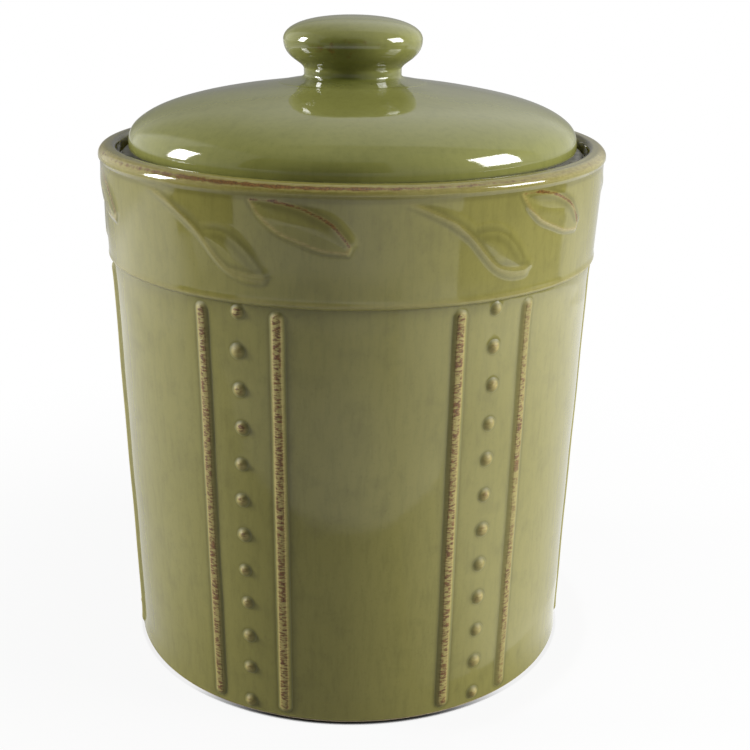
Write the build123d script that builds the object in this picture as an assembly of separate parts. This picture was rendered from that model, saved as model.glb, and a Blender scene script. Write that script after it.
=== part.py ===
from build123d import *
import os
from math import cos, radians, sin

# A glazed stoneware canister with a drop-in lid and a silicone seal, in mm.
# The base centre is the origin, +Z is up and the front faces -Y.

# Jar wall and base
rim_radius = 80.0
rim_height = 168.0
wall_flare = 3.4
wall_thickness = 6.0
floor_thickness = 8.0
floor_round = 6.0
base_round = 1.4
foot_width = 10.0
foot_recess = 2.0
foot_round = 1.0

# Collar, rim and the gallery ledge inside it
collar_height = 35.0
collar_flare = 1.25
collar_overhang = 1.25
collar_round = 1.1
rim_thickness = 6.0
rim_outer_round = 3.2
rim_inner_round = 2.0
lip_height = 4.6
lip_rise = 0.5
ledge_depth = 5.0
ledge_width = 7.0
ledge_round = 0.8
throat_height = 16.0
gallery_height = 12.0

# Bands of ribs and beads on the wall, angles in degrees round from the front
band_count = 6
first_band_angle = -24.06
front_band_pitch = 56.0
rib_angle = 17.7
rib_width = 4.0
rib_rise = 0.9
rib_top_gap = 2.4
rib_foot_gap = 4.4
bead_count = 12
bead_width = 3.8
bead_rise = 1.2
bead_top_gap = 2.4
bead_foot_gap = 4.2

# Vine sprigs on the collar, drawn as seen from straight before them
sprig_width_share = 0.83
sprig_height_share = 0.77
sprig_middle_share = 0.527
sprig_rise = 0.8
dish_rise = 0.4
hollow_share = 0.7
stem_shares = ((-0.5, 0.47), (-0.37, 0.34), (-0.2, 0.03), (-0.1, -0.28), (-0.02, -0.45), (0.06, -0.5))
stem_top_shares = ((-0.15, 0.06), (-0.24, 0.25), (-0.36, 0.42), (-0.5, 0.5))
low_leaf_tip_share = (0.138, -0.45)
low_leaf_back_shares = ((0.1, -0.27), (0.04, -0.05), (-0.04, 0.07), (-0.15, 0.06))
high_leaf_base_share = (0.075, 0.48)
high_leaf_tip_share = (0.5, -0.15)
high_leaf_low_shares = ((0.13, 0.25), (0.25, 0.05), (0.38, -0.09))
high_leaf_high_shares = ((0.49, 0.05), (0.43, 0.22), (0.3, 0.4), (0.16, 0.5))

# Lid and knob
lid_gap = 3.8
lid_edge_rise = 3.1
lid_edge_round = 7.0
lid_under_round = 2.0
lid_thickness = 6.5
dome_rise = 21.5
dome_slope = 43.0
dome_seat_slope = 12.0
dome_seat_pull = 16.2
dome_edge_pull = 12.3
plug_length = 14.5
plug_thickness = 5.5
plug_lip = 1.5
plug_lip_height = 2.2
plug_round = 0.6
knob_foot_radius = 18.2
knob_foot_edge = 0.4
knob_flare_share = 0.65
knob_neck_radius = 15.3
knob_neck_rise = 3.0
knob_neck_pull = 2.3
knob_under_pull = 5.9
knob_radius = 21.7
knob_middle_rise = 12.0
knob_rise = 19.2
knob_side_share = 0.57
knob_top_share = 0.66

# Seal ring between the lid and the ledge
seal_fit = 0.2
seal_clearance = 0.3
seal_flange_thickness = 2.0
seal_flange_gap = 1.4
seal_sleeve_thickness = 1.8
seal_fin_thickness = 1.0
seal_fin_drop = 0.8
seal_fin_count = 2
seal_fin_pitch = 4.0
seal_first_fin_depth = 3.5

# Sizes that follow from those above
field_radius = rim_radius - lip_rise
field_top = rim_height - lip_height
collar_radius = field_radius - collar_flare
wall_top_radius = collar_radius - collar_overhang
base_radius = wall_top_radius - wall_flare
wall_height = rim_height - collar_height
sprig_width = field_radius * sprig_width_share
sprig_height = (field_top - wall_height) * sprig_height_share
sprig_middle = wall_height + collar_height * sprig_middle_share
mouth_radius = rim_radius - rim_thickness
ledge_level = rim_height - ledge_depth
throat_radius = mouth_radius - ledge_width
throat_foot = ledge_level - throat_height
lid_radius = mouth_radius - lid_gap
lid_under = ledge_level + seal_flange_thickness
lid_edge_height = lid_under + lid_edge_rise
dome_height = lid_under + dome_rise
knob_neck_height = dome_height + knob_neck_rise
knob_middle_height = dome_height + knob_middle_rise
knob_height = dome_height + knob_rise
seal_outer_radius = mouth_radius - seal_flange_gap
fin_radius = throat_radius - seal_clearance
sleeve_foot = lid_under - plug_length + plug_lip_height + seal_clearance
plug_radius = fin_radius - seal_sleeve_thickness - plug_lip - seal_fit
sleeve_radius = plug_radius + seal_fit
front = -90.0


def wall_radius(height):
    """Outer radius of the tapered wall at a height."""
    return base_radius + (wall_top_radius - base_radius) * height / wall_height


def turned(face):
    """A solid turned round the jar's axis from a half outline."""
    return revolve(Plane.XZ * face, Axis.Z)


def rounded_face(corners):
    """A face from (radius, height, rounding) corners."""
    face = make_face(Polyline(*[(x, z) for x, z, _ in corners], close=True))
    for x, z, rounding in corners:
        if rounding:
            face = fillet(face.vertices().sort_by_distance((x, z))[0], rounding)
    return face


def placed(shapes, angle):
    """Shapes made facing +X, turned to an angle from the front."""
    return [Rot(0, 0, front + angle) * shape for shape in shapes]


def solids_of(shapes):
    """One group holding every solid of the shapes."""
    return Compound([solid for shape in shapes for solid in shape.solids()])


def make_jar():
    inner_foot = wall_radius(floor_thickness) - wall_thickness
    inner_top = wall_radius(throat_foot - gallery_height) - wall_thickness
    return turned(rounded_face((
        (0, foot_recess, 0),
        (base_radius - base_round - foot_width, foot_recess, foot_round),
        (base_radius - base_round - foot_width, 0, foot_round),
        (base_radius, 0, base_round),
        (wall_top_radius, wall_height, 0),
        (collar_radius, wall_height, collar_round),
        (field_radius, field_top, 0),
        (rim_radius, field_top + lip_rise, 0),
        (rim_radius, rim_height, rim_outer_round),
        (mouth_radius, rim_height, rim_inner_round),
        (mouth_radius, ledge_level, ledge_round),
        (throat_radius, ledge_level, ledge_round),
        (throat_radius, throat_foot, 0),
        (inner_top, throat_foot - gallery_height, 0),
        (inner_foot, floor_thickness, floor_round),
        (0, floor_thickness, 0),
    )))


def cap_round(width, rise):
    """Radius of a round form that shows this width and rise above a surface."""
    return (width * width / 4 + rise * rise) / (2 * rise)


def on_wall(shape, height):
    """Sets a flat-backed shape against the wall at a height, its back on Z zero and its X up the wall."""
    up = Vector(wall_top_radius - base_radius, 0, wall_height)
    out = Vector(wall_height, 0, base_radius - wall_top_radius)
    return Plane(Vector(wall_radius(height), 0, height), x_dir=up, z_dir=out) * shape


def make_rib_pair():
    rounding = cap_round(rib_width, rib_rise)
    length = wall_height - rib_top_gap - rib_foot_gap
    bar = Rot(0, 90, 0) * Cylinder(rounding, length)
    bar += [Pos(side * length / 2, 0, 0) * Sphere(rounding) for side in (-1, 1)]
    strip = split(Pos(0, 0, rib_rise - rounding) * bar, Plane.XY, keep=Keep.TOP)
    rib = on_wall(strip, rib_foot_gap + length / 2)
    return [Rot(0, 0, side * rib_angle / 2) * rib for side in (-1, 1)]


def make_bead_row():
    rounding = cap_round(bead_width, bead_rise)
    stud = split(Pos(0, 0, bead_rise - rounding) * Sphere(rounding), Plane.XY, keep=Keep.TOP)
    pitch = (wall_height - bead_top_gap - bead_foot_gap) / (bead_count - 1)
    return [on_wall(stud, bead_foot_gap + pitch * index) for index in range(bead_count)]


def collar_shell(start, end):
    """A ring that follows the collar, from one height above its face to another."""
    return turned(make_face(Polyline(
        (collar_radius + start, wall_height),
        (collar_radius + end, wall_height),
        (field_radius + end, field_top),
        (field_radius + start, field_top),
        close=True,
    )))


def sprig_point(shares):
    across, up = shares
    return (sprig_width * across, sprig_middle + sprig_height * up)


def sprig_curve(*shares):
    return Spline(*[sprig_point(share) for share in shares])


def on_collar(face, start, end):
    """The part of a collar ring that lies behind a flat outline."""
    return extrude(Plane.YZ * face, 2 * rim_radius) & collar_shell(start, end)


def dished(outline, leaf):
    """A raised form with a shallow dish inside its leaf."""
    middle = leaf.center()
    hollow = Pos(middle) * scale(Pos(-middle) * leaf, hollow_share)
    return on_collar(outline, 0, sprig_rise) - on_collar(hollow, dish_rise, 2 * sprig_rise)


def make_vine_sprig():
    low_edge = sprig_curve(*stem_shares, low_leaf_tip_share)
    low_back = sprig_curve(low_leaf_tip_share, *low_leaf_back_shares)
    stem_top = sprig_curve(*stem_top_shares)
    stem_end = Line(stem_top @ 1, low_edge @ 0)
    stem = make_face([low_edge, low_back, stem_top, stem_end])
    leaf_front = sprig_curve(low_leaf_back_shares[-1], *stem_shares[-3:], low_leaf_tip_share)
    low_leaf = make_face([leaf_front, low_back])
    high_leaf = make_face([
        sprig_curve(high_leaf_base_share, *high_leaf_low_shares, high_leaf_tip_share),
        sprig_curve(high_leaf_tip_share, *high_leaf_high_shares, high_leaf_base_share),
    ])
    return [dished(stem, low_leaf), dished(high_leaf, high_leaf)]


def make_lid():
    slope = radians(dome_slope)
    seat_slope = radians(dome_seat_slope)
    edge = Vector(lid_radius - lid_edge_round, lid_edge_height)
    shoulder = edge + Vector(sin(slope), cos(slope)) * lid_edge_round
    seat = Vector(knob_foot_radius, dome_height)
    dome = Bezier(
        seat,
        seat + Vector(cos(seat_slope), -sin(seat_slope)) * dome_seat_pull,
        shoulder - Vector(cos(slope), -sin(slope)) * dome_edge_pull,
        shoulder,
    )
    rounded_edge = CenterArc(edge, lid_edge_round, 0, 90 - dome_slope)
    plug_foot = lid_under - plug_length
    lip_radius = plug_radius + plug_lip
    inside = plug_radius - plug_thickness
    under = [
        (lid_radius, lid_edge_height),
        (lid_radius, lid_under),
        (plug_radius, lid_under),
        (plug_radius, plug_foot + plug_lip_height),
        (lip_radius, plug_foot + plug_lip_height),
        (lip_radius, plug_foot),
        (inside, plug_foot),
        (inside, lid_under),
    ]
    ceiling = TangentArc((0, dome_height - lid_thickness), (inside, lid_under), tangent=(1, 0))
    axis = Line((0, dome_height - lid_thickness), (0, dome_height))
    face = make_face([Line((0, dome_height), seat), dome, rounded_edge, Polyline(*under), ceiling, axis])
    for corner, rounding in ((under[1], lid_under_round), (under[5], plug_round), (under[6], plug_round)):
        face = fillet(face.vertices().sort_by_distance(corner)[0], rounding)
    return turned(face)


def make_knob():
    rise = knob_height - knob_middle_height
    head = Bezier(
        (knob_radius, knob_middle_height),
        (knob_radius, knob_middle_height + rise * knob_side_share),
        (knob_radius * knob_top_share, knob_height),
        (0, knob_height),
    )
    under = Bezier(
        (knob_neck_radius, knob_neck_height),
        (knob_neck_radius, knob_neck_height + knob_neck_pull),
        (knob_radius, knob_middle_height - knob_under_pull),
        (knob_radius, knob_middle_height),
    )
    foot_level = dome_height + knob_foot_edge
    flare = Bezier(
        (knob_foot_radius, foot_level),
        (knob_foot_radius + (knob_neck_radius - knob_foot_radius) * knob_flare_share, foot_level),
        (knob_neck_radius, knob_neck_height + (foot_level - knob_neck_height) * knob_flare_share),
        (knob_neck_radius, knob_neck_height),
    )
    base = Polyline((0, knob_height), (0, dome_height), (knob_foot_radius, dome_height), flare @ 0)
    return turned(make_face([head, under, flare, base]))


def make_seal_ring():
    outer_sleeve = sleeve_radius + seal_sleeve_thickness
    ring = turned(make_face(Polyline(
        (sleeve_radius, sleeve_foot),
        (outer_sleeve, sleeve_foot),
        (outer_sleeve, ledge_level),
        (seal_outer_radius, ledge_level),
        (seal_outer_radius, lid_under),
        (sleeve_radius, lid_under),
        close=True,
    )))
    for index in range(seal_fin_count):
        root = ledge_level - seal_first_fin_depth - index * seal_fin_pitch
        ring += turned(make_face(Polyline(
            (sleeve_radius, root),
            (outer_sleeve, root),
            (fin_radius, root - seal_fin_drop),
            (fin_radius, root - seal_fin_drop - seal_fin_thickness),
            (outer_sleeve, root - seal_fin_thickness),
            (sleeve_radius, root - seal_fin_thickness),
            close=True,
        )))
    return ring


def band_angles():
    """Angles of the bands: the front pair, then the rest spread evenly."""
    rest = (360 - front_band_pitch) / (band_count - 1)
    second = first_band_angle + front_band_pitch
    return [first_band_angle] + [second + rest * index for index in range(band_count - 1)]


def make_parts():
    parts = {"jar": make_jar(), "seal_ring": make_seal_ring(), "lid": make_lid(), "knob": make_knob()}
    trims = {
        "rib_pair": make_rib_pair(),
        "bead_row": make_bead_row(),
        "vine_sprig": make_vine_sprig(),
    }
    for number, angle in enumerate(band_angles(), start=1):
        for name, shapes in trims.items():
            parts[f"{name}_{number}"] = solids_of(placed(shapes, angle))
    return parts


os.makedirs("parts", exist_ok=True)
for name, shape in make_parts().items():
    export_step(shape, f"parts/{name}.step")
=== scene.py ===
import math

import bmesh
import bpy
import numpy as np
from mathutils import Matrix, Vector


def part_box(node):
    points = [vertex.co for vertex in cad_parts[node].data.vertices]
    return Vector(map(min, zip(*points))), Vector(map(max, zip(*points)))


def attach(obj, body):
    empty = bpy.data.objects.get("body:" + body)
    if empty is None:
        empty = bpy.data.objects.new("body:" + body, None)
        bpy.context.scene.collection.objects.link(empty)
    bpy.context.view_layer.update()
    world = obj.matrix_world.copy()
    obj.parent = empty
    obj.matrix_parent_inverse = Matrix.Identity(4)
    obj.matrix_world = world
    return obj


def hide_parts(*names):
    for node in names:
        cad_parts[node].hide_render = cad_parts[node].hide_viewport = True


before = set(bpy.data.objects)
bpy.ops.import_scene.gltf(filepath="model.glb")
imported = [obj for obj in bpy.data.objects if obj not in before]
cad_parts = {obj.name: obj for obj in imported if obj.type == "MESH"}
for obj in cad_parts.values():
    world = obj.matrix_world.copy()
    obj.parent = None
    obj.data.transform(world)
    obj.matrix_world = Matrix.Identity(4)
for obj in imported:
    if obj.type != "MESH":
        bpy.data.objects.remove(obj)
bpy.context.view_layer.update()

# Lengths of the canister are in millimetres and its angles in radians from the front. Its meshes are
# made in metres, and the stage, lamps and camera are placed in metres.
MM = 0.001
TURN = 2 * math.pi


def node_top(node):
    """Highest X, Y and Z of a CAD node, in mm."""
    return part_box(node)[1] / MM


# Sizes read from the CAD frame
rim_radius, _, rim_height = node_top("jar")
lid_radius, _, dome_height = node_top("lid")
knob_radius, _, knob_height = node_top("knob")
plug_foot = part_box("lid")[0].z / MM
seal_radius, _, lid_under = node_top("seal_ring")
sleeve_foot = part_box("seal_ring")[0].z / MM

# Jar wall, collar and rim
collar_height = 35.0
lip_height = 4.6
lip_rise = 0.5
lip_slope = 1.0
collar_flare = 1.25
collar_overhang = 1.25
collar_lap = 1.5
collar_foot = 3.0
wall_flare = 3.4
wall_thickness = 6.0
floor_thickness = 8.0
foot_width = 10.0
foot_recess = 2.0
rim_thickness = 6.0
ledge_depth = 5.0
ledge_width = 7.0
throat_height = 16.0
gallery_height = 12.0
wall_height = rim_height - collar_height
field_top = rim_height - lip_height
field_radius = rim_radius - lip_rise
collar_radius = field_radius - collar_flare
wall_top_radius = collar_radius - collar_overhang
base_radius = wall_top_radius - wall_flare
mouth_radius = rim_radius - rim_thickness
throat_radius = mouth_radius - ledge_width
ledge_level = rim_height - ledge_depth
throat_foot = ledge_level - throat_height
inner_wall_top = wall_top_radius - wall_thickness
inner_wall_foot = base_radius - wall_thickness

# Roundings of the jar
base_round = 1.4
foot_round = 0.8
floor_round = 6.0
collar_round = 1.4
lip_foot_round = 0.6
lip_round = 0.8
rim_outer_round = 3.2
rim_inner_round = 2.0
ledge_round = 0.8
throat_round = 3.0

# Unevenness of the rim: a dip to the front right, and burnt stretches as angle, width and share
rim_dip_angle = math.radians(22)
rim_dip_depth = 0.8
rim_burn = 0.3
rim_burn_stretches = (
    (math.radians(-15), math.radians(38), 0.65),
    (math.radians(160), math.radians(50), 0.4),
)

# Ribs and beads of one band
band_count = 6
first_band = math.radians(-24.06)
front_pitch = math.radians(56.0)
rib_spread = math.radians(17.7)
rib_half = 1.95
rib_rise = 0.8
rib_roundness = 0.6
rib_top = wall_height - 1.4
rib_foot = 2.6
bead_count = 12
bead_half = 1.95
bead_rise = 1.15
bead_roundness = 0.85
bead_skirt = 0.1
bead_top = wall_height - 2.5
bead_foot = 4.2

# Wear of ribs and beads, and the painted shade round the ribs' feet: two ribs stay covered, and beads
# scatter across, up, in size and in wear
wear_seed = 7
rib_wear = 0.6, 1.0
rib_foot_shade = 0.42
covered_ribs = math.radians(84), math.radians(-76)
cover_width = 0.12
bead_scatter = 0.22, 0.25, 0.06, 0.25

# Vine sprig on the collar: points as shares of its width and height
sprig_width = 0.83 * field_radius
sprig_height = 0.77 * (field_top - wall_height)
sprig_middle = wall_height + 0.527 * collar_height
sprig_reach = math.radians(29)
sprig_rise = 0.42
sprig_fade = 7.5, 0.5
leaf_bulge = 0.25
leaf_bulge_run = 4.5
steep_slope = 1.1
gentle_slope = 3.2
stem_line = (
    (-0.5, 0.49), (-0.45, 0.47), (-0.365, 0.38), (-0.256, 0.22), (-0.181, 0.07),
    (-0.127, -0.085), (-0.082, -0.23), (-0.024, -0.37), (0.06, -0.437), (0.125, -0.445),
)
stem_half = 0.6
pad_half = 1.4
low_leaf_back = (
    (-0.15, 0.05), (-0.075, 0.08), (-0.015, 0.04), (0.036, -0.06), (0.082, -0.2), (0.135, -0.42),
)
low_leaf_front = ((0.06, -0.437), (-0.024, -0.37), (-0.082, -0.23), (-0.127, -0.085))
high_base = (0.077, 0.485)
high_tip = (0.492, -0.11)
high_front = ((0.104, 0.37), (0.136, 0.26), (0.204, 0.11), (0.292, 0.01), (0.386, -0.08))
high_back = (
    (0.5, -0.02), (0.474, 0.1), (0.424, 0.25), (0.357, 0.35), (0.283, 0.43), (0.2, 0.475), (0.136, 0.5),
)

# Lid: a dome that runs from the knob's seat to a rounded edge, over a plug
knob_foot_radius = 18.2
plug_radius = 63.2
plug_wall = 5.5
plug_lip = 1.5
plug_lip_height = 2.2
plug_corner_round = 0.3
plug_lip_round = 0.4
plug_foot_round = 0.8
lid_thickness = 6.5
lid_edge_round = 7.0
lid_edge_rise = 3.1
lid_under_round = 2.0
dome_slope = math.radians(43)
dome_pull = 12.3
seat_slope = math.radians(12)
seat_pull = 16.2
plug_inside = plug_radius - plug_wall
lid_edge_height = lid_under + lid_edge_rise
lid_ceiling = dome_height - lid_thickness

# Knob, with the slip that runs out on the dome round its foot
knob_neck_radius = 15.3
knob_neck_height = dome_height + 3.0
knob_neck_pull = 2.3
knob_middle = dome_height + 12.0
knob_middle_pull = 5.9
knob_crown_shares = 0.57, 0.66
# Where a dark reflection with a brown tint is painted on the knob's front
knob_reflection_angle = math.radians(-14)
knob_reflection_width = math.radians(40)
slip_radius = 24.5
slip_run = 6.0
slip_rise = 1.5
slip_curl = 0.1
slip_proud = 0.02
slip_depth = 0.3

# Seal ring: a sleeve on the plug with two fins
sleeve_radius = plug_radius + 0.2
sleeve_outside = sleeve_radius + 1.8
sleeve_top_round = 0.3
sleeve_root_round = 0.4
sleeve_foot_round = 0.5
seal_edge_round = 0.7
fin_radius = throat_radius - 0.3
fin_droop = 0.8
fin_thickness = 1.0
fin_root_round = 0.3
fin_tip_round = 0.35
fin_drops = 3.5, 7.5

# How finely the meshes follow their forms
arc_step = 0.35
relief_step = 0.45
foot_step = 3.0
inside_step = 4.0
collar_step = 0.4
field_step = 0.5
rim_step = 1.6
lid_under_step = 1.8
seal_step = 1.2
collar_spacing = 0.55
lid_spacing = 2.2
knob_spacing = 1.0
sharp_angle = math.radians(55)
merge_gap = 1e-6


# Curves and meshes

def smooth(low, high, value):
    """0 below low, 1 above high and an even rise between."""
    t = np.clip((value - low) / (high - low), 0.0, 1.0)
    return t * t * (3 - 2 * t)


def hump(value, middle, width):
    """A bell that is 1 at the middle."""
    return np.exp(-(((value - middle) / width) ** 2))


def graded(start, end, spacing):
    """Positions from start to end whose local spacing follows the function spacing."""
    fine = np.linspace(start, end, 6000)
    steps = np.concatenate(([0.0], np.cumsum(np.diff(fine) / spacing((fine[1:] + fine[:-1]) / 2))))
    count = max(2, int(round(steps[-1])))
    return np.interp(np.linspace(0.0, steps[-1], count + 1), steps, fine)


def corner_arc(before, corner, after, rounding):
    """Points of a rounded corner of an outline."""
    into = (before - corner) / np.linalg.norm(before - corner)
    out = (after - corner) / np.linalg.norm(after - corner)
    half = math.acos(np.clip(into @ out, -1.0, 1.0)) / 2
    reach = rounding / math.tan(half)
    middle = corner + (into + out) / np.linalg.norm(into + out) * rounding / math.sin(half)
    first, last = corner + into * reach - middle, corner + out * reach - middle
    turn = math.pi - 2 * half
    count = max(3, int(turn * rounding / arc_step))
    shares = np.linspace(0.0, 1.0, count + 1)[:, None]
    return middle + (np.sin((1 - shares) * turn) * first + np.sin(shares * turn) * last) / math.sin(turn)


def outline(corners, step, closed=False):
    """An outline through (radius, height, rounding) corners, with its runs cut to the step."""
    points = np.array([corner[:2] for corner in corners], float)
    count = len(points)
    line = []
    for index, (_, _, rounding) in enumerate(corners):
        at_end = not closed and index in (0, count - 1)
        if rounding and not at_end:
            after = points[(index + 1) % count]
            line.extend(corner_arc(points[index - 1], points[index], after, rounding))
        else:
            line.append(points[index])
    if closed:
        line.append(line[0])
    dense = [line[0]]
    for start, end in zip(line[:-1], line[1:]):
        cuts = max(1, int(round(np.linalg.norm(end - start) / step)))
        dense.extend(start + (end - start) * (cut + 1) / cuts for cut in range(cuts))
    return np.array(dense[:-1] if closed else dense)


def sharp(point):
    """An outline's corner at a point of another line, without rounding."""
    return tuple(point) + (0,)


def bezier(p0, p1, p2, p3, count=16):
    """Points of a cubic curve, without its first."""
    t = np.linspace(0.0, 1.0, count + 1)[1:, None]
    p0, p1, p2, p3 = (np.array(p, float) for p in (p0, p1, p2, p3))
    return (1 - t) ** 3 * p0 + 3 * t * (1 - t) ** 2 * p1 + 3 * t * t * (1 - t) * p2 + t**3 * p3


def wobble(phi, height):
    """How far a hand-finished pot dips under its true form, in mm."""
    waves = (
        0.10 * np.sin(2 * phi + 0.7 + height / 61)
        + 0.07 * np.sin(5 * phi - height / 23)
        + 0.05 * np.sin(9 * phi + 1.9 + height / 14)
        + 0.04 * np.sin(height / 5.3 + 3 * phi)
    )
    deepest = 0.26
    return waves - deepest


def turned(name, body, line, phi, lift=None, marks=None, closed=False):
    """A mesh turned from an outline of (radius, height), raised along its normal by lift.

    Marks are values over the surface that the material reads.
    """
    rows, columns = len(line), len(phi)
    ahead = np.roll(line, -1, 0) if closed else np.vstack((line[1:], line[-1:]))
    behind = np.roll(line, 1, 0) if closed else np.vstack((line[:1], line[:-1]))
    along = ahead - behind
    along /= np.maximum(np.linalg.norm(along, axis=1), 1e-9)[:, None]
    radius = np.repeat(line[:, :1], columns, 1)
    height = np.repeat(line[:, 1:], columns, 1)
    if lift is not None:
        radius = radius + along[:, 1:] * lift
        height = height - along[:, :1] * lift
    angle = phi[None, :]
    verts = np.stack((radius * np.sin(angle), -radius * np.cos(angle), height), -1).reshape(-1, 3)
    index = np.arange(rows * columns).reshape(rows, columns)
    if closed:
        index = np.vstack((index, index[:1]))
    low, high = index[:-1], index[1:]
    quads = np.stack((low, np.roll(low, -1, 1), np.roll(high, -1, 1), high), -1).reshape(-1, 4)
    mesh = bpy.data.meshes.new(name)
    mesh.from_pydata((verts * MM).tolist(), [], quads.tolist())
    for mark, values in (marks or {}).items():
        layer = mesh.attributes.new(mark, "FLOAT", "POINT")
        spread = np.broadcast_to(values, (rows, columns)).astype(np.float32)
        layer.data.foreach_set("value", spread.ravel())
    shape = bmesh.new()
    shape.from_mesh(mesh)
    bmesh.ops.remove_doubles(shape, verts=shape.verts, dist=merge_gap)
    bmesh.ops.dissolve_degenerate(shape, dist=merge_gap, edges=shape.edges)
    bmesh.ops.recalc_face_normals(shape, faces=shape.faces)
    shape.to_mesh(mesh)
    shape.free()
    mesh.shade_smooth()
    mesh.set_sharp_from_angle(angle=sharp_angle)
    piece = bpy.data.objects.new(name, mesh)
    bpy.context.collection.objects.link(piece)
    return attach(piece, body)


def band_angles():
    """Angles of the bands: the front pair, then the rest spread evenly."""
    rest = (TURN - front_pitch) / (band_count - 1)
    return [first_band] + [first_band + front_pitch + rest * index for index in range(band_count - 1)]


def turn_between(phi, centre):
    """Signed angle from a centre, the short way round."""
    return (phi - centre + math.pi) % TURN - math.pi


def even_angles(spacing, radius):
    """Angles of one round, about this far apart at the radius."""
    return np.linspace(0.0, TURN, int(TURN * radius / spacing), endpoint=False)


# Relief of the wall

def wall_radius(height):
    return base_radius + wall_flare * height / wall_height


def bead_heights():
    return np.linspace(bead_foot, bead_top, bead_count)


def wall_columns():
    """Angles that are close together on ribs and beads and far apart between."""
    centres = [angle + side * rib_spread / 2 for angle in band_angles() for side in (-1, 0, 1)]

    def spacing(phi):
        nearest = np.min([np.abs(turn_between(phi, centre)) for centre in centres], axis=0)
        return (relief_step + 2.0 * smooth(2.6, 7.0, nearest * wall_top_radius)) / wall_top_radius

    return graded(0.0, TURN, spacing)[:-1]


def wall_rows():
    """Heights that are close together where the beads are."""
    def spacing(height):
        nearest = np.min([np.abs(height - bead) for bead in bead_heights()], axis=0)
        return relief_step + 0.9 * smooth(2.4, 4.0, nearest)

    return graded(base_round, wall_height, spacing)


def wall_relief(phi, height):
    """Lift of ribs and beads, with where the glaze is worn, thin and dull, and where it pools and shade is
    painted.
    """
    radius = wall_radius(height)
    lift = np.zeros(np.broadcast(phi, height).shape)
    bare, edge, pool_and_shade, matte = (np.zeros_like(lift) for _ in range(4))
    draws = np.random.default_rng(wear_seed)
    for angle in band_angles():
        for side in (-1, 1):
            place = angle + side * rib_spread / 2
            past_end = np.maximum(np.maximum(height - rib_top, rib_foot - height) + rib_half, 0.0)
            away = np.hypot(turn_between(phi, place) * radius, past_end)
            rise = np.maximum(0.0, 1 - (away / rib_half) ** 2) ** rib_roundness
            lift += rib_rise * rise
            covered = max(hump(turn_between(place, other), 0.0, cover_width) for other in covered_ribs)
            waves = 0.12 * np.sin(height / 9 + 5 * angle + side)
            wear = (draws.uniform(*rib_wear) + waves) * (1 - covered)
            bare = np.maximum(bare, wear * smooth(0.6, 0.95, rise))
            edge = np.maximum(edge, (0.2 + 0.8 * wear) * smooth(0.25, 0.8, rise))
            # painted shade round the rib's foot
            pool_and_shade = np.maximum(pool_and_shade, rib_foot_shade * hump(away, rib_half + 0.5, 0.7))
            matte = np.maximum(matte, smooth(-rib_half - 0.8, -rib_half, -away))
        worn = 0.72 - 0.5 * math.sin(angle)
        for centre in bead_heights():
            across, up, size, wear = draws.normal(0.0, bead_scatter)
            shift = turn_between(phi, angle) * radius - across
            away = np.hypot(shift, height - centre - up) / (bead_half * (1 + size))
            cap = np.maximum(0.0, 1 - away**2) ** bead_roundness
            lift += bead_rise * cap + bead_skirt * hump(away, 1.0, 0.3)
            above = smooth(-0.5, 0.7, (height - centre - up) / bead_half)
            top_wear = worn * (0.85 + 1.4 * wear) * (0.45 + 0.55 * above)
            bare = np.maximum(bare, top_wear * smooth(0.35, 0.95, cap))
            edge = np.maximum(edge, (0.9 + 0.6 * wear) * smooth(0.1, 0.7, cap))
            matte = np.maximum(matte, smooth(-1.4, -1.0, -away))
            # pooled glaze and painted shade round the bead's foot, heavier above it
            pool_and_shade = np.maximum(pool_and_shade, (0.2 + 0.4 * above) * hump(away, 1.1, 0.35))
    return lift, bare, edge, pool_and_shade, matte


# Jar body

columns = wall_columns()
outer_heights = wall_rows()
outer_wall = np.stack((wall_radius(outer_heights), outer_heights), -1)
foot_inside = base_radius - base_round - foot_width
foot_line = outline((
    (0, foot_recess, 0),
    (foot_inside, foot_recess, foot_round),
    (foot_inside, 0, foot_round),
    (base_radius, 0, base_round),
    sharp(outer_wall[0]),
), foot_step)
inner_line = outline((
    sharp(outer_wall[-1]),
    (inner_wall_top, wall_height, 0),
    (inner_wall_foot, floor_thickness, floor_round),
    (0, floor_thickness, 0),
), inside_step)
body_line = np.vstack((foot_line[:-1], outer_wall, inner_line[1:]))
body_shape = (len(body_line), len(columns))
body_lift, body_bare, body_edge, body_pool_and_shade, body_matte = (np.zeros(body_shape) for _ in range(5))
outer_rows = slice(len(foot_line) - 1, len(foot_line) - 1 + len(outer_wall))
wall_phi, wall_z = columns[None, :], outer_wall[:, 1:]
relief, bare, edge, pool_and_shade, matte = wall_relief(wall_phi, wall_z)
off_ends = smooth(0, 8, wall_z) * smooth(-wall_height, 8 - wall_height, -wall_z)
body_lift[outer_rows] = relief + wobble(wall_phi, wall_z) * off_ends
body_bare[outer_rows] = bare
body_edge[outer_rows] = edge
body_matte[outer_rows] = matte
# painted shade on the wall under the collar's overhang
body_pool_and_shade[outer_rows] = np.maximum(pool_and_shade, 0.3 * hump(wall_z, wall_height, 3.0))
raw_clay = np.zeros((len(body_line), 1))
raw_clay[: len(foot_line) - 3] = 1.0
jar_body = turned("jar_body", "jar", body_line, columns, body_lift, {
    "bare": body_bare,
    "pool_and_shade": body_pool_and_shade,
    "edge": body_edge,
    "matte": body_matte,
    "raw_clay": raw_clay,
})
bands = range(1, band_count + 1)
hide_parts("jar", *[f"{kind}_{n}" for kind in ("rib_pair", "bead_row") for n in bands])


# Relief of the collar

def through(*shares, cuts=8):
    """A smooth line through points given as shares of the sprig."""
    points = np.array(shares) * (sprig_width, sprig_height)
    padded = np.vstack((2 * points[0] - points[1], points, 2 * points[-1] - points[-2]))
    t = np.linspace(0.0, 1.0, cuts + 1)[:-1, None]
    line = []
    for a, b, c, d in zip(padded, padded[1:], padded[2:], padded[3:]):
        line.extend(0.5 * (2 * b + (c - a) * t + (2 * a - 5 * b + 4 * c - d) * t**2
                           + (3 * b - a - 3 * c + d) * t**3))
    line.append(points[-1])
    return np.array(line)


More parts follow.
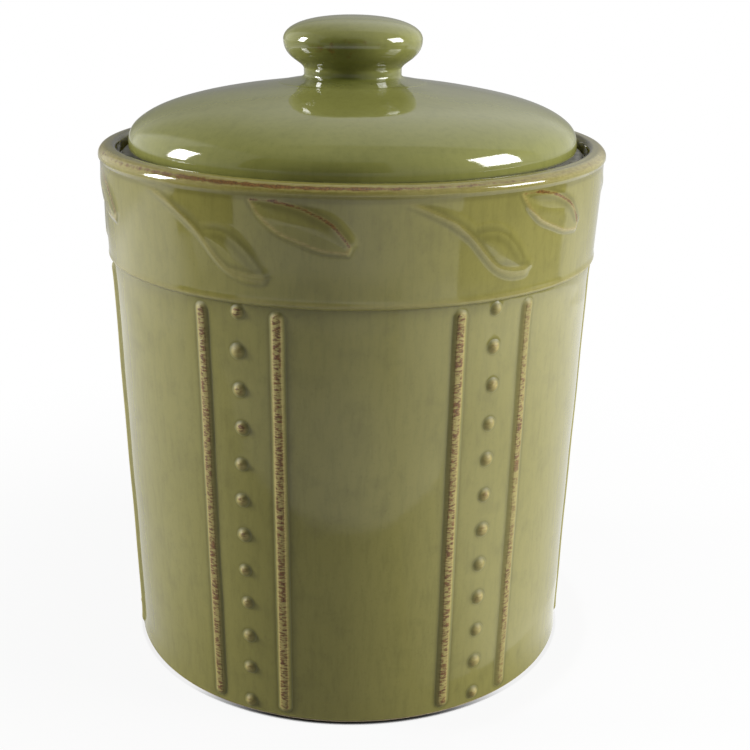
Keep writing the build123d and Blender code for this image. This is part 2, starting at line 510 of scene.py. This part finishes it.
def nearest_on(x, y, starts, ends):
    """Distance to a run of segments, the way to it and how far along the run it lies."""
    nearest = np.full(x.shape, np.inf)
    off_x, off_y, along = (np.zeros(x.shape) for _ in range(3))
    lengths = np.linalg.norm(ends - starts, axis=1)
    before = 0.0
    for (ax, ay), (bx, by), length in zip(starts, ends, lengths):
        dx, dy = bx - ax, by - ay
        share = np.clip(((x - ax) * dx + (y - ay) * dy) / (dx * dx + dy * dy + 1e-12), 0, 1)
        this_x, this_y = x - ax - share * dx, y - ay - share * dy
        distance = np.hypot(this_x, this_y)
        closer = distance < nearest
        nearest = np.where(closer, distance, nearest)
        off_x, off_y = np.where(closer, this_x, off_x), np.where(closer, this_y, off_y)
        along = np.where(closer, before + share * length, along)
        before += length
    return nearest, off_x, off_y, along / before


def inside(x, y, loop):
    """Whether points lie inside a closed line."""
    within = np.zeros(x.shape, bool)
    for (ax, ay), (bx, by) in zip(loop, np.roll(loop, -1, 0)):
        if ay != by:
            within ^= ((ay > y) != (by > y)) & (x < ax + (y - ay) * (bx - ax) / (by - ay))
    return within


def faces_up(off_x, off_y):
    """1 for slopes that face up and a little to the right, which run out gently, gather glaze and get
    painted shade.
    """
    return smooth(0.0, 0.8, (0.3 * off_x + 0.95 * off_y) / np.maximum(np.hypot(off_x, off_y), 1e-6))


def pooled_and_shaded(beyond, upper):
    """Where the glaze gathers and shade is painted, outside an outline and mostly above it."""
    above = smooth(-0.2, 0.3, beyond) * (1 - smooth(0.5, 2.2, beyond))
    return np.maximum(0.55 * upper * above, 0.5 * (1 - upper) * hump(beyond, 0.8, 0.45))


def leaf(x, y, loop):
    """A raised leaf: lift, its crest, the pooled glaze and painted shade in and round it and where its
    slopes face up.
    """
    distance, off_x, off_y, _ = nearest_on(x, y, loop, np.roll(loop, -1, 0))
    within = inside(x, y, loop)
    depth = np.where(within, distance, -distance)
    upper = faces_up(off_x, off_y) * ~within + faces_up(-off_x, -off_y) * within
    slope = steep_slope + (gentle_slope - steep_slope) * upper
    lift = sprig_rise * smooth(-1.0, 0.2, depth / slope) + leaf_bulge * smooth(0.0, leaf_bulge_run, depth)
    pool_and_shade = np.maximum(pooled_and_shaded(-depth, upper), 0.5 * upper * hump(depth, 1.7, 1.1))
    return lift, hump(depth, 0.3, 0.45), pool_and_shade, upper


def sprig_relief(phi, height):
    """Lift of one sprig with its thin glazed edges, pooled glaze and painted shade, and burnt crest."""
    x, y = np.broadcast_arrays(field_radius * phi, height - sprig_middle)
    stem = through(*stem_line)
    distance, off_x, off_y, along = nearest_on(x, y, stem[:-1], stem[1:])
    start = smooth(0.0, 0.15, along)
    half = stem_half * (0.5 + 0.5 * start) + (pad_half - stem_half) * smooth(0.76, 0.9, along)
    upper = faces_up(off_x, off_y)
    slope = 1.3 * steep_slope + (gentle_slope - steep_slope) * upper
    stem_lift = sprig_rise * start * (1 - smooth(-half, slope, distance - half))
    low_loop = np.vstack((through(*low_leaf_back)[:-1], through(low_leaf_back[-1], *low_leaf_front)))
    high_loop = np.vstack((
        through(high_base, *high_front, high_tip)[:-1],
        through(high_tip, *high_back, high_base)[:-1],
    ))
    low_lift, _, low_pool_and_shade, _ = leaf(x, y, low_loop)
    high_lift, high_crest, high_pool_and_shade, high_upper = leaf(x, y, high_loop)
    lift = np.maximum(np.maximum(stem_lift, 0.9 * low_lift), high_lift)
    clear = smooth(0.5, 2.0, distance - half)
    edge = np.maximum(0.25 * start * hump(distance, 0.5 * half, 0.5), 0.85 * high_crest)
    stem_pool_and_shade = 0.7 * pooled_and_shaded(distance - half, upper) * start
    pool_and_shade = np.maximum(np.maximum(stem_pool_and_shade, 0.7 * low_pool_and_shade * clear), high_pool_and_shade)
    return lift, edge, pool_and_shade, 0.85 * high_upper * high_crest


# Collar and rim

field_heights = np.arange(wall_height + collar_foot, field_top - 0.4, field_step)
field_shares = (field_heights - wall_height) / (field_top - wall_height)
field_line = np.stack((collar_radius + collar_flare * field_shares, field_heights), -1)
collar_line = outline((
    (wall_top_radius - collar_lap, wall_height, 0),
    (collar_radius, wall_height, collar_round),
    sharp(field_line[0]),
), collar_step)
rim_line = outline((
    sharp(field_line[-1]),
    (field_radius, field_top, lip_foot_round),
    (rim_radius, field_top + lip_slope, lip_round),
    (rim_radius, rim_height, rim_outer_round),
    (mouth_radius, rim_height, rim_inner_round),
    (mouth_radius, ledge_level, ledge_round),
    (throat_radius, ledge_level, ledge_round),
    (throat_radius, throat_foot, throat_round),
    (inner_wall_top, throat_foot - gallery_height, throat_round),
    (inner_wall_top, wall_height, 0),
), rim_step)
under_middle = ((inner_wall_top + wall_top_radius) / 2, wall_height)
collar_loop = np.vstack((collar_line[:-1], field_line, rim_line[1:], (under_middle,)))
collar_columns = even_angles(collar_spacing, rim_radius)
field_rows = slice(len(collar_line) - 1, len(collar_line) - 1 + len(field_line))
collar_shape = (len(collar_loop), len(collar_columns))
collar_lift, collar_edge, collar_pool_and_shade, collar_burn = (np.zeros(collar_shape) for _ in range(4))
for angle in band_angles():
    away = turn_between(collar_columns, angle)
    near = np.abs(away) < sprig_reach
    rise, edge, pool_and_shade, burn_and_dark_reflection = sprig_relief(away[near][None, :], field_line[:, 1:])
    rise *= 1 - smooth(field_top - sprig_fade[0], field_top - sprig_fade[1], field_line[:, 1:])
    for whole, part in zip((collar_lift, collar_edge, collar_pool_and_shade, collar_burn), (rise, edge, pool_and_shade, burn_and_dark_reflection)):
        whole[field_rows, near] = np.maximum(whole[field_rows, near], part)
radii, heights = collar_loop[:, :1], collar_loop[:, 1:]
on_front = radii > wall_top_radius
outside = smooth(mouth_radius + 0.5, mouth_radius + 3.0, radii)
outside = outside * smooth(wall_height + 0.2, wall_height + 3.0, heights)
collar_lift += wobble(collar_columns[None, :], heights) * outside
rim_dip = np.maximum(0.0, np.cos(turn_between(collar_columns, rim_dip_angle))) ** 2
collar_lift -= rim_dip_depth * rim_dip[None, :] * smooth(rim_height - 2.6, rim_height - 0.6, heights)
rim_corner = np.hypot(radii - rim_radius + 0.8, heights - rim_height + 1.2)
burn_share = rim_burn + sum(
    share * hump(turn_between(collar_columns, middle), 0.0, width)
    for middle, width, share in rim_burn_stretches
)
collar_burn = np.maximum(collar_burn, hump(rim_corner, 0.0, 1.0) * burn_share[None, :])
# cream along the collar's bottom rounding: thin glaze with a painted highlight
collar_edge = np.maximum(collar_edge, 0.25 * hump(heights, wall_height + 1.2, 0.8) * on_front)
collar_edge = np.maximum(collar_edge, 0.6 * hump(rim_corner, 0.0, 2.2))
# darker in the groove under the lip: pooled glaze and painted shade
collar_pool_and_shade = np.maximum(collar_pool_and_shade, 0.5 * hump(heights, field_top - 0.4, 0.8) * outside)
jar_collar = turned("jar_collar", "jar", collar_loop, collar_columns, collar_lift, {
    "matte": 0.6 * hump(heights, wall_height + 0.2, 1.2) * on_front,
    "burn_and_dark_reflection": collar_burn,
    "pool_and_shade": collar_pool_and_shade,
    "edge": collar_edge,
}, closed=True)
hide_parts("jar", *[f"vine_sprig_{n}" for n in bands])


# Lid

def downhill(slope):
    """Unit step outward and down a slope."""
    return np.array((math.cos(slope), -math.sin(slope)))


plain_columns = even_angles(lid_spacing, lid_radius)
seat = np.array((knob_foot_radius, dome_height))
edge_middle = np.array((lid_radius - lid_edge_round, lid_edge_height))
shoulder = edge_middle + lid_edge_round * np.array((math.sin(dome_slope), math.cos(dome_slope)))
dome_line = bezier(
    seat,
    seat + seat_pull * downhill(seat_slope),
    shoulder - dome_pull * downhill(dome_slope),
    shoulder,
    34,
)
edge_angles = np.linspace(math.pi / 2 - dome_slope, 0, 12)[1:]
edge_line = edge_middle + lid_edge_round * np.stack((np.cos(edge_angles), np.sin(edge_angles)), -1)
ceiling_rise = lid_ceiling - lid_under
ceiling_sphere = (plug_inside**2 + ceiling_rise**2) / (2 * ceiling_rise)
ceiling_radii = np.linspace(plug_inside, 0, 24)
ceiling_heights = lid_ceiling - ceiling_sphere + np.sqrt(ceiling_sphere**2 - ceiling_radii**2)
ceiling_line = np.stack((ceiling_radii, ceiling_heights), -1)
under_line = outline((
    sharp(edge_line[-1]),
    (lid_radius, lid_under, lid_under_round),
    (plug_radius, lid_under, plug_corner_round),
    (plug_radius, plug_foot + plug_lip_height, plug_corner_round),
    (plug_radius + plug_lip, plug_foot + plug_lip_height, plug_lip_round),
    (plug_radius + plug_lip, plug_foot, plug_foot_round),
    (plug_inside, plug_foot, plug_foot_round),
    sharp(ceiling_line[0]),
), lid_under_step)
dome_top = (0, dome_height)
lid_line = np.vstack(((dome_top,), (seat,), dome_line, edge_line, under_line[1:], ceiling_line[1:]))
lid_radii, lid_heights = lid_line[:, :1], lid_line[:, 1:]
lid_wobble = wobble(plain_columns[None, :], lid_radii) * smooth(20, 40, lid_radii)
lid_wobble = lid_wobble * (lid_heights > lid_edge_height - 2)
lid_piece = turned("lid_cover", "lid", lid_line, plain_columns, lid_wobble, {
    # darker round the knob's foot on the dome
    "pool_and_shade": 0.25 * hump(lid_radii, knob_foot_radius, 5.0) * (lid_heights > lid_edge_height),
})
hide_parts("lid")


# Knob

knob_crown = knob_height - knob_middle
slip_level = np.interp(slip_radius, dome_line[:, 0], dome_line[:, 1]) + slip_proud
slip_foot = slip_level - slip_depth
knob_line = np.vstack((
    ((0, slip_foot), (slip_radius, slip_foot)),
    bezier(
        (slip_radius, slip_level),
        (slip_radius - slip_run, slip_level + slip_run * math.tan(seat_slope)),
        (knob_neck_radius, dome_height + slip_curl),
        (knob_neck_radius, dome_height + slip_rise),
    ),
    bezier(
        (knob_neck_radius, knob_neck_height),
        (knob_neck_radius, knob_neck_height + knob_neck_pull),
        (knob_radius, knob_middle - knob_middle_pull),
        (knob_radius, knob_middle),
        24,
    ),
    bezier(
        (knob_radius, knob_middle),
        (knob_radius, knob_middle + knob_crown * knob_crown_shares[0]),
        (knob_radius * knob_crown_shares[1], knob_height),
        (0, knob_height),
        32,
    ),
))
knob_columns = even_angles(knob_spacing, knob_radius)
knob_heights = knob_line[:, 1:]
knob_front = hump(turn_between(knob_columns, knob_reflection_angle), 0.0, knob_reflection_width)[None, :]
# painted dark reflection with a brown tint on the knob's front, round its middle
knob_dark_reflection = knob_front * hump(knob_heights, knob_middle - 1.5, 4.0)
# the neck darker, most at the front: pooled glaze and painted shade
neck_pool_and_shade = (0.5 + 0.6 * knob_front) * hump(knob_heights, dome_height + slip_rise, 2.2)
knob_piece = turned("lid_knob", "lid", knob_line, knob_columns, None, {
    "pool_and_shade": np.maximum(neck_pool_and_shade, 0.8 * knob_dark_reflection),
    "burn_and_dark_reflection": 0.36 * knob_dark_reflection,
})
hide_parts("knob")


# Seal ring

def fin(root):
    """Corners of one drooping sealing fin, from its upper root."""
    return (
        (sleeve_outside, root, fin_root_round),
        (fin_radius, root - fin_droop, fin_tip_round),
        (fin_radius, root - fin_droop - fin_thickness, fin_tip_round),
        (sleeve_outside, root - fin_thickness, fin_root_round),
    )


seal_line = outline((
    (sleeve_radius, lid_under, sleeve_top_round),
    (seal_radius, lid_under, seal_edge_round),
    (seal_radius, ledge_level, seal_edge_round),
    (sleeve_outside, ledge_level, sleeve_root_round),
    *(corner for drop in fin_drops for corner in fin(ledge_level - drop)),
    (sleeve_outside, sleeve_foot, sleeve_foot_round),
    (sleeve_radius, sleeve_foot, sleeve_root_round),
), seal_step, closed=True)
seal_piece = turned("seal_ring_soft", "seal", seal_line, plain_columns, closed=True)
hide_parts("seal_ring")


# Materials

def tone(red, green, blue):
    """A colour from its 0 to 255 display values."""
    shares = (red / 255, green / 255, blue / 255)
    return tuple(c / 12.92 if c <= 0.04045 else ((c + 0.055) / 1.055) ** 2.4 for c in shares) + (1.0,)


class Nodes:
    """A small helper to lay out the nodes of one material or world."""

    def __init__(self, owner):
        owner.use_nodes = True
        self.owner = owner
        self.tree = owner.node_tree

    def add(self, kind, **settings):
        made = self.tree.nodes.new(kind)
        for key, value in settings.items():
            setattr(made, key, value)
        return made

    def feed(self, socket, value):
        """Links another socket, or sets a plain value."""
        if isinstance(value, bpy.types.NodeSocket):
            self.tree.links.new(value, socket)
        else:
            socket.default_value = value

    def surface(self):
        return self.tree.nodes["Principled BSDF"]

    def mark(self, name):
        return self.add("ShaderNodeAttribute", attribute_name=name).outputs["Fac"]

    def place(self, kind="Object"):
        return self.add("ShaderNodeTexCoord").outputs[kind]

    def axes(self, kind):
        """X, Y and Z of a texture place."""
        split = self.add("ShaderNodeSeparateXYZ")
        self.feed(split.inputs[0], self.place(kind))
        return split.outputs

    def noise(self, size, detail=3.0, rough=0.55, stretch=None):
        """Noise whose grains are about this many mm."""
        made = self.add("ShaderNodeTexNoise")
        place = self.place()
        if stretch:
            mapping = self.add("ShaderNodeMapping")
            self.feed(mapping.inputs["Vector"], place)
            mapping.inputs["Scale"].default_value = stretch
            place = mapping.outputs["Vector"]
        self.feed(made.inputs["Vector"], place)
        made.inputs["Scale"].default_value = 1 / (size * MM)
        made.inputs["Detail"].default_value = detail
        made.inputs["Roughness"].default_value = rough
        return made.outputs["Fac"]

    def pits(self, apart, size):
        """Sparse pinholes of this size, in some of the cells that are about this many mm apart."""
        cells = self.add("ShaderNodeTexVoronoi")
        self.feed(cells.inputs["Vector"], self.place())
        cells.inputs["Scale"].default_value = 1 / (apart * MM)
        chance = self.add("ShaderNodeSeparateColor")
        self.feed(chance.inputs[0], cells.outputs["Color"])
        near = self.span(cells.outputs["Distance"], 0.6 * size / apart, size / apart, 1.0, 0.0)
        return self.math("MULTIPLY", near, self.math("GREATER_THAN", chance.outputs["Red"], 0.7))

    def math(self, operation, a, b=0.0, c=0.0, clamp=False):
        made = self.add("ShaderNodeMath", operation=operation, use_clamp=clamp)
        for socket, value in zip(made.inputs, (a, b, c)):
            self.feed(socket, value)
        return made.outputs[0]

    def product(self, first, *others):
        """All of these values multiplied."""
        for other in others:
            first = self.math("MULTIPLY", first, other)
        return first

    def between(self, share, first, second):
        """A value that goes from the first to the second by this share."""
        return self.math("MULTIPLY_ADD", self.math("SUBTRACT", second, first), share, first)

    def span(self, value, low, high, first=0.0, last=1.0):
        """A soft step from first, where the value is low, to last, where it is high."""
        made = self.add("ShaderNodeMapRange", interpolation_type="SMOOTHSTEP")
        for socket, item in zip(made.inputs, (value, low, high, first, last)):
            self.feed(socket, item)
        return made.outputs["Result"]

    def mix(self, share, first, second):
        """A colour that goes from the first to the second by this share."""
        made = self.add("ShaderNodeMix", data_type="RGBA")
        self.feed(made.inputs["Factor"], share)
        self.feed(made.inputs["A"], first)
        self.feed(made.inputs["B"], second)
        return made.outputs["Result"]

    def bump(self, height, depth, before=None):
        """A bump whose full height is this many mm."""
        made = self.add("ShaderNodeBump")
        made.inputs["Distance"].default_value = depth * MM
        self.feed(made.inputs["Height"], height)
        if before is not None:
            self.feed(made.inputs["Normal"], before)
        return made.outputs["Normal"]

    def ray_kinds(self):
        """Sockets that are 1 for rays from the camera, and for reflected or passed rays."""
        path = self.add("ShaderNodeLightPath")
        gloss = self.math("MAXIMUM", path.outputs["Is Glossy Ray"], path.outputs["Is Transmission Ray"])
        return path.outputs["Is Camera Ray"], gloss

    def show(self, output, share, first, second):
        """Ends in a mix of two shaders, with the second by this share."""
        made = self.add("ShaderNodeMixShader")
        for socket, item in zip(made.inputs, (share, first.outputs[0], second.outputs[0])):
            self.feed(socket, item)
        self.feed(self.tree.nodes[output].inputs["Surface"], made.outputs[0])


def glaze(name, green, shade, pale):
    """Glossy glaze that breaks to cream and speckled brown where it runs thin on raised edges."""
    n = Nodes(bpy.data.materials.new(name))
    surface = n.surface()
    cloud = n.noise(60.0, 2.0)
    mottle = n.noise(9.0, 3.0)
    speck = n.noise(1.1, 3.0, 0.7)
    blotch = n.noise(2.6, 2.0)
    hatch = n.noise(0.85, 2.0, 0.6, (0.45, 0.45, 1.5))
    grain = n.noise(0.4, 2.0, 0.7)
    streak = n.noise(2.0, 3.0, 0.65, (1.0, 1.0, 0.2))
    bare, raw = n.mark("bare"), n.mark("raw_clay")

    # Green, darker in streaks and specks, where it pools and where shade is painted
    colour = n.mix(n.span(cloud, 0.35, 0.65), green, pale)
    colour = n.mix(n.product(n.span(mottle, 0.5, 0.75), 0.15), colour, shade)
    colour = n.mix(n.product(n.span(streak, 0.4, 0.75), 0.16), colour, shade)
    colour = n.mix(n.product(n.span(speck, 0.5, 0.8), 0.14), colour, shade)
    # Pooled glaze and painted shade, in the dark shade colour
    colour = n.mix(n.product(n.mark("pool_and_shade"), 0.85), colour, shade)

    # Cream on thin edges, with a painted highlight on the collar's bottom rounding; rust where it is worn;
    # ragged brown where it is burnt and in the knob's painted dark reflection
    edge = n.product(n.mark("edge"), n.span(speck, 0.3, 0.65, 0.55, 0.95))
    cream = n.mix(n.span(hatch, 0.4, 0.6), tone(158, 143, 84), tone(137, 119, 64))
    colour = n.mix(edge, colour, cream)
    worn = n.product(n.span(bare, 0.2, 0.8), n.span(hatch, 0.44, 0.6))
    rust = n.mix(n.span(grain, 0.4, 0.6), tone(72, 38, 9), tone(114, 70, 27))
    colour = n.mix(n.product(worn, 0.92), colour, rust)
    specked_burn = n.math("MULTIPLY_ADD", speck, 0.5, n.mark("burn_and_dark_reflection"))
    ragged = n.math("ADD", n.math("MULTIPLY_ADD", blotch, 1.0, -0.75), specked_burn)
    burnt = n.mix(n.span(grain, 0.4, 0.6), tone(62, 34, 8), tone(118, 74, 27))
    colour = n.mix(n.span(ragged, 0.3, 0.75, 0.0, 0.85), colour, burnt)

    # Pinholes, and unglazed clay under the foot
    colour = n.mix(n.pits(13.0, 0.3), colour, tone(58, 48, 24))
    clay = n.mix(n.span(speck, 0.4, 0.6), tone(196, 178, 148), tone(176, 156, 124))
    colour = n.mix(raw, colour, clay)
    n.feed(surface.inputs["Base Color"], colour)

    rough = n.span(mottle, 0.3, 0.7, 0.05, 0.1)
    rough = n.math("ADD", rough, n.product(n.mark("matte"), 0.55))
    rough = n.math("ADD", rough, n.product(raw, 0.7), clamp=True)
    n.feed(surface.inputs["Roughness"], rough)
    surface.inputs["IOR"].default_value = 1.55
    normal = n.bump(n.noise(6.0, 2.0, 0.5), 0.03)
    normal = n.bump(n.product(hatch, n.math("ADD", n.span(bare, 0.1, 0.6), raw)), 0.3, normal)
    n.feed(surface.inputs["Normal"], normal)
    return n.owner


def silicone(name):
    """Soft grey translucent rubber with a faint bloom."""
    n = Nodes(bpy.data.materials.new(name))
    surface = n.surface()
    bloom = n.noise(5.0, 3.0)
    colour = n.mix(n.span(bloom, 0.35, 0.65), tone(172, 170, 162), tone(150, 149, 142))
    n.feed(surface.inputs["Base Color"], colour)
    n.feed(surface.inputs["Roughness"], n.span(bloom, 0.3, 0.7, 0.38, 0.55))
    surface.inputs["Subsurface Weight"].default_value = 0.25
    surface.inputs["Subsurface Radius"].default_value = (0.002, 0.002, 0.002)
    surface.inputs["IOR"].default_value = 1.41
    n.feed(surface.inputs["Normal"], n.bump(n.noise(0.8, 2.0), 0.02))
    return n.owner


jar_green = glaze("sage_glaze", tone(126, 121, 60), tone(66, 64, 22), tone(130, 125, 66))
lid_green = glaze("lid_sage_glaze", tone(125, 126, 66), tone(76, 80, 28), tone(129, 130, 72))
for piece in (jar_body, jar_collar):
    piece.data.materials.append(jar_green)
for piece in (lid_piece, knob_piece):
    piece.data.materials.append(lid_green)
seal_piece.data.materials.append(silicone("grey_silicone"))


# Stage, light and camera

def make_world():
    """A white surround for the camera, whose light is dim from the front, the ceiling and straight behind.

    Reflections also show a bright backdrop to the left and right, with an edge overhead.
    """
    world = bpy.data.worlds.new("studio")
    bpy.context.scene.world = world
    n = Nodes(world)
    soft = n.tree.nodes["Background"]
    white = n.add("ShaderNodeBackground")
    for light in (soft, white):
        light.inputs["Color"].default_value = (1, 1, 1, 1)
    x, y, z = n.axes("Generated")
    level = n.product(
        n.span(y, -0.8, 0.1, 0.39, 1.0),
        n.span(z, 0.1, 0.5, 0.5, 0.24),
        n.span(y, 0.86, 0.95, 1.0, 0.4),
    )
    n.feed(soft.inputs["Strength"], level)
    right = n.span(x, -0.4, 0.25, 0.1, 0.9)
    left = n.span(x, -0.6, -0.5, 0.9, 0.0)
    overhead_edge = n.span(y, 0.24, 0.32, 0.35, 1.0)
    horizon = n.math("MAXIMUM", n.span(z, 0.06, 0.3, 0.45, 1.0), n.span(y, 0.82, 0.9, 1.0, 0.0))
    straight_behind = n.span(y, 0.86, 0.95, 1.0, 0.55)
    backdrop = n.product(n.math("MAXIMUM", right, left), overhead_edge, horizon, straight_behind)
    camera, gloss = n.ray_kinds()
    n.show("World Output", n.math("MULTIPLY_ADD", gloss, backdrop, camera), soft, white)


def make_floor():
    """A pale floor that keeps the object's shadow and joins the white surround.

    Reflections show it dim up to a straight line in front, and brighter beyond and to the sides.
    """
    half = 3.0
    corners = [(-half, -half, 0), (half, -half, 0), (half, half, 0), (-half, half, 0)]
    mesh = bpy.data.meshes.new("floor")
    mesh.from_pydata(corners, [], [(0, 1, 2, 3)])
    floor = bpy.data.objects.new("floor", mesh)
    bpy.context.collection.objects.link(floor)
    n = Nodes(bpy.data.materials.new("pale_floor"))
    surface = n.surface()
    surface.inputs["Base Color"].default_value = (0.44, 0.44, 0.43, 1)
    surface.inputs["Roughness"].default_value = 0.9
    surface.inputs["Specular IOR Level"].default_value = 0.0
    across, ahead, _ = n.axes("Object")
    length = n.add("ShaderNodeVectorMath", operation="LENGTH")
    n.feed(length.inputs[0], n.place())
    away = length.outputs["Value"]

    # In front: dim up to the line, then bright and falling off
    beyond = n.product(
        n.math("ADD", n.span(away, 0.25, 0.42, 0.9, 0.7), n.span(away, 0.44, 0.54, 0.0, 0.35)),
        n.span(away, 0.7, 1.1, 1.0, 0.3),
        n.span(across, -0.12, 0.05, 0.75, 1.0),
    )
    near_level = 0.35
    past_line = n.span(ahead, -0.192, -0.18, 1.0, 0.0)
    front = n.between(past_line, near_level, beyond)

    # To the sides and behind
    near_left = n.span(across, -0.3, -0.06, 1.0, 0.7)
    right_edge = n.span(across, 0.0, 0.08, 0.0, 0.35)
    far_left = n.span(across, -0.5, -0.35, 1.4, 1.0)
    behind = n.span(ahead, 0.25, 0.5, 1.0, 0.7)
    back_left = n.span(n.math("SUBTRACT", ahead, across), 0.78, 0.95, 1.0, 0.6)
    sides = n.product(n.math("ADD", near_left, right_edge), n.product(far_left, behind, back_left))
    spread = n.math("DIVIDE", ahead, n.math("MINIMUM", n.product(away, 4.0), 1.0))
    reflected = n.between(n.span(spread, -0.22, -0.04), front, sides)

    # White for the camera, apart from the shadow and a painted contact shadow, a dark line under the foot
    # in front
    near = n.add("ShaderNodeAmbientOcclusion")
    near.inputs["Distance"].default_value = 0.002
    open_floor = n.span(near.outputs["AO"], 0.5, 0.8)
    painted_contact_shadow = n.math("MAXIMUM", open_floor, n.span(ahead, -0.07, -0.052, 0.0, 0.9))
    camera, gloss = n.ray_kinds()
    glow = n.add("ShaderNodeEmission")
    n.feed(glow.inputs["Strength"], n.math("MULTIPLY_ADD", camera, painted_contact_shadow, n.product(gloss, reflected)))
    white_share = n.span(away, 0.08, 0.3, 0.92, 1.0)
    n.show("Material Output", n.math("MULTIPLY_ADD", camera, white_share, gloss), surface, glow)
    mesh.materials.append(n.owner)


def softbox(name, azimuth, elevation, distance, width, height, power):
    """An area lamp aimed at the middle of the jar."""
    light = bpy.data.lights.new(name, "AREA")
    light.shape = "RECTANGLE"
    light.size, light.size_y = width, height
    light.energy = power
    lamp = bpy.data.objects.new(name, light)
    bpy.context.collection.objects.link(lamp)
    a, e = math.radians(azimuth), math.radians(elevation)
    way = Vector((math.sin(a) * math.cos(e), -math.cos(a) * math.cos(e), math.sin(e)))
    lamp.location = way * distance + Vector((0, 0, rim_height * MM / 2))
    lamp.rotation_mode = "QUATERNION"
    lamp.rotation_quaternion = way.to_track_quat("Z", "Y")


def card(name, heights, rows, lights_up=True):
    """A glowing card round the object that no camera sees, with two edges at these heights.

    Each row gives an angle in degrees, the two edges' radii and their light. A card that doesn't light
    up its surroundings shows in reflections alone.
    """
    marks = np.array(rows, float)
    angles = np.arange(marks[0, 0], marks[-1, 0] + 1, 3.0)
    turns = np.radians(angles)
    first, second, *levels = (np.interp(angles, marks[:, 0], column) for column in marks[:, 1:].T)
    verts = [
        (radius * math.sin(turn), -radius * math.cos(turn), height)
        for turn, pair in zip(turns, np.stack((first, second), -1))
        for radius, height in zip(pair, heights)
    ]
    quads = [(2 * k, 2 * k + 1, 2 * k + 3, 2 * k + 2) for k in range(len(turns) - 1)]
    mesh = bpy.data.meshes.new(name)
    mesh.from_pydata(verts, [], quads)
    light = mesh.attributes.new("level", "FLOAT", "POINT")
    light.data.foreach_set("value", np.stack(levels, -1).astype(np.float32).ravel())
    n = Nodes(bpy.data.materials.new(name))
    n.tree.nodes.remove(n.surface())
    glow = n.add("ShaderNodeEmission")
    n.feed(glow.inputs["Strength"], n.mark("level"))
    n.feed(n.tree.nodes["Material Output"].inputs["Surface"], glow.outputs[0])
    mesh.materials.append(n.owner)
    sheet = bpy.data.objects.new(name, mesh)
    bpy.context.collection.objects.link(sheet)
    sheet.visible_camera = False
    sheet.visible_shadow = False
    sheet.visible_diffuse = lights_up


def upright_card(name, heights, angles, radius, levels, lights_up=True):
    """A card that stands on one radius, with the same light all along."""
    card(name, heights, [(angle, radius, radius, *levels) for angle in angles], lights_up)


def make_camera():
    """The photograph's camera: it looks down a little, and its frame is shifted sideways."""
    data = bpy.data.cameras.new("camera")
    camera = bpy.data.objects.new("camera", data)
    bpy.context.collection.objects.link(camera)
    data.sensor_width = 36.0
    data.lens = 58.35
    data.shift_x = 0.0319
    pitch, roll, yaw = 0.3367, 0.0078, 0.0005
    camera.location = (0.0, -0.391, 0.2247)
    look = Vector((yaw, math.cos(pitch), -math.sin(pitch)))
    tilt = Matrix.Rotation(roll, 4, "Z").to_quaternion()
    camera.rotation_mode = "QUATERNION"
    camera.rotation_quaternion = look.to_track_quat("-Z", "Y") @ tilt
    bpy.context.scene.camera = camera


make_world()
make_floor()
softbox("softbox_left", -92, 19, 1.3, 0.3, 0.6, 21)
softbox("softbox_right", 78, 23, 1.3, 0.55, 0.7, 24)
floor_card_heights = (0.002, 0.002)
card("bright_floor_right", floor_card_heights, (
    (20, 0.085, 0.198, 0.4, 0.45),
    (35, 0.085, 0.227, 0.7, 0.75),
    (47, 0.085, 0.273, 1.05, 1.2),
    (56, 0.085, 0.333, 1.1, 1.5),
    (65, 0.085, 0.44, 1.1, 1.75),
    (86, 0.085, 0.44, 0.9, 1.9),
    (113, 0.085, 0.44, 0.8, 1.55),
    (161, 0.085, 0.44, 0.7, 0.8),
))
card("bright_front_right", floor_card_heights, (
    (20, 0.198, 0.5, 0.9, 0.9),
    (35, 0.227, 0.5, 1.3, 1.2),
    (47, 0.273, 0.5, 1.4, 1.4),
    (56, 0.333, 0.44, 1.45, 1.45),
    (65, 0.43, 0.44, 1.55, 1.55),
))
upright_card("dark_gap_right", (0.0, 0.1), (45, 103), 0.45, (0.5, 0.1))
upright_card("dark_gap_left", (0.0, 0.1), (-78, -46), 0.57, (0.1, 0.1))
upright_card("dark_camera_side", (0.2, 0.8), (-54, 18), 0.62, (0.02, 0.02), lights_up=False)
make_camera()
bpy.context.scene.view_settings.view_transform = "Standard"
